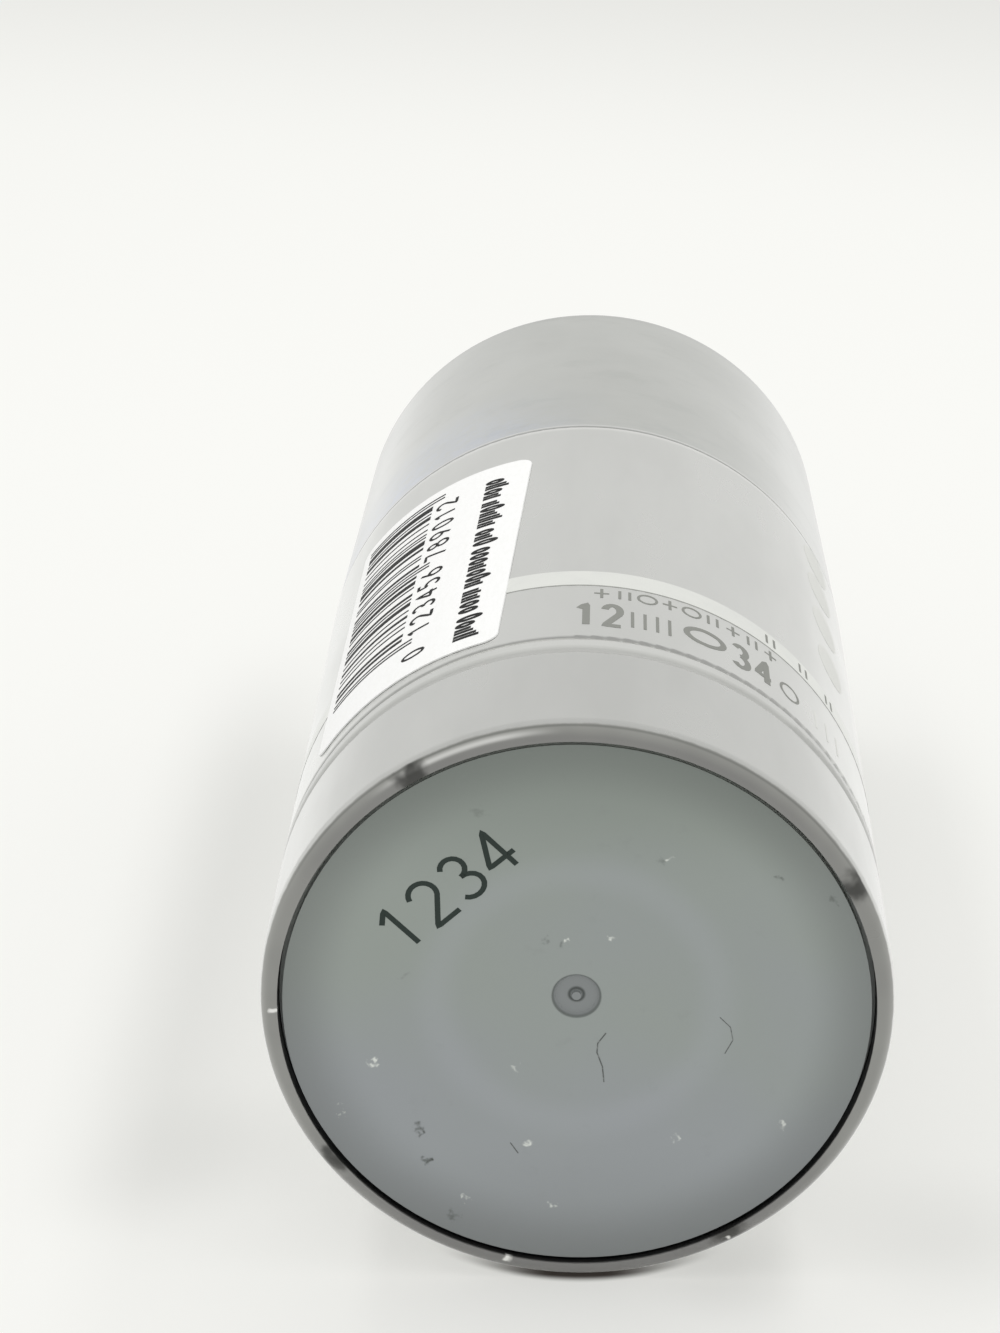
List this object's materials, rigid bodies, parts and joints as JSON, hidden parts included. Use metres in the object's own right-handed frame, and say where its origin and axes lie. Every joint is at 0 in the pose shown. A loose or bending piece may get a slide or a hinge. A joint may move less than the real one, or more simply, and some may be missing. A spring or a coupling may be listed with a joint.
{
  "type": "twist-up deodorant stick",
  "caption": "Round twist-up deodorant stick with a turning base dial, a lifting screw and platform under the stick, and a tall pull-off cap.",
  "frame": {"origin": "centre of the base, on the surface that the stick stands on", "axes": "+Z along the stick's axis, from the dial to the cap; -Y towards the front, with the price label at the front's left"},
  "size_m": [0.048, 0.048, 0.101],
  "materials": {
    "dial_paint": "silver grey paint, satin gloss",
    "wheel_plastic": "fine matt moulded plastic, blue-green grey",
    "screw_plastic": "natural moulded plastic",
    "barrel_plastic": "pale grey moulded plastic",
    "sleeve_paint": "silver grey paint, satin gloss, printed",
    "label_paper": "white paper with black print",
    "stick_gel": "smooth pale translucent gel",
    "cap_satin": "satin metallic coating with faint smudges",
    "liner_plastic": "white moulded plastic"
  },
  "bodies": {
    "barrel": {"barrel": "barrel_plastic", "body_sleeve": "sleeve_paint", "price_label": "label_paper"},
    "dial": {"dial_sleeve": "dial_paint", "hand_wheel": "wheel_plastic", "spindle": "screw_plastic"},
    "platform": {"lift_platform": "screw_plastic", "deodorant_stick": "stick_gel"},
    "cap": {"cap_shell": "cap_satin", "cap_liner": "liner_plastic"}
  },
  "joints": [
    {"name": "dial_turn", "type": "hinge", "parent": "barrel", "child": "dial", "pos_m": [0, 0, 0], "axis": [0, 0, -1], "range_deg": [0, 3600]},
    {"name": "stick_lift", "type": "slide", "parent": "barrel", "child": "platform", "axis": [0, 0, 1], "range_m": [0, 0.05]},
    {"name": "cap_pull", "type": "slide", "parent": "platform", "child": "cap", "axis": [0, 0, 1], "range_m": [0, 0.045]}
  ],
  "couplings": [
    {"joint": "dial_turn", "follows": "stick_lift", "rad_per_m": 1256.6}
  ]
}
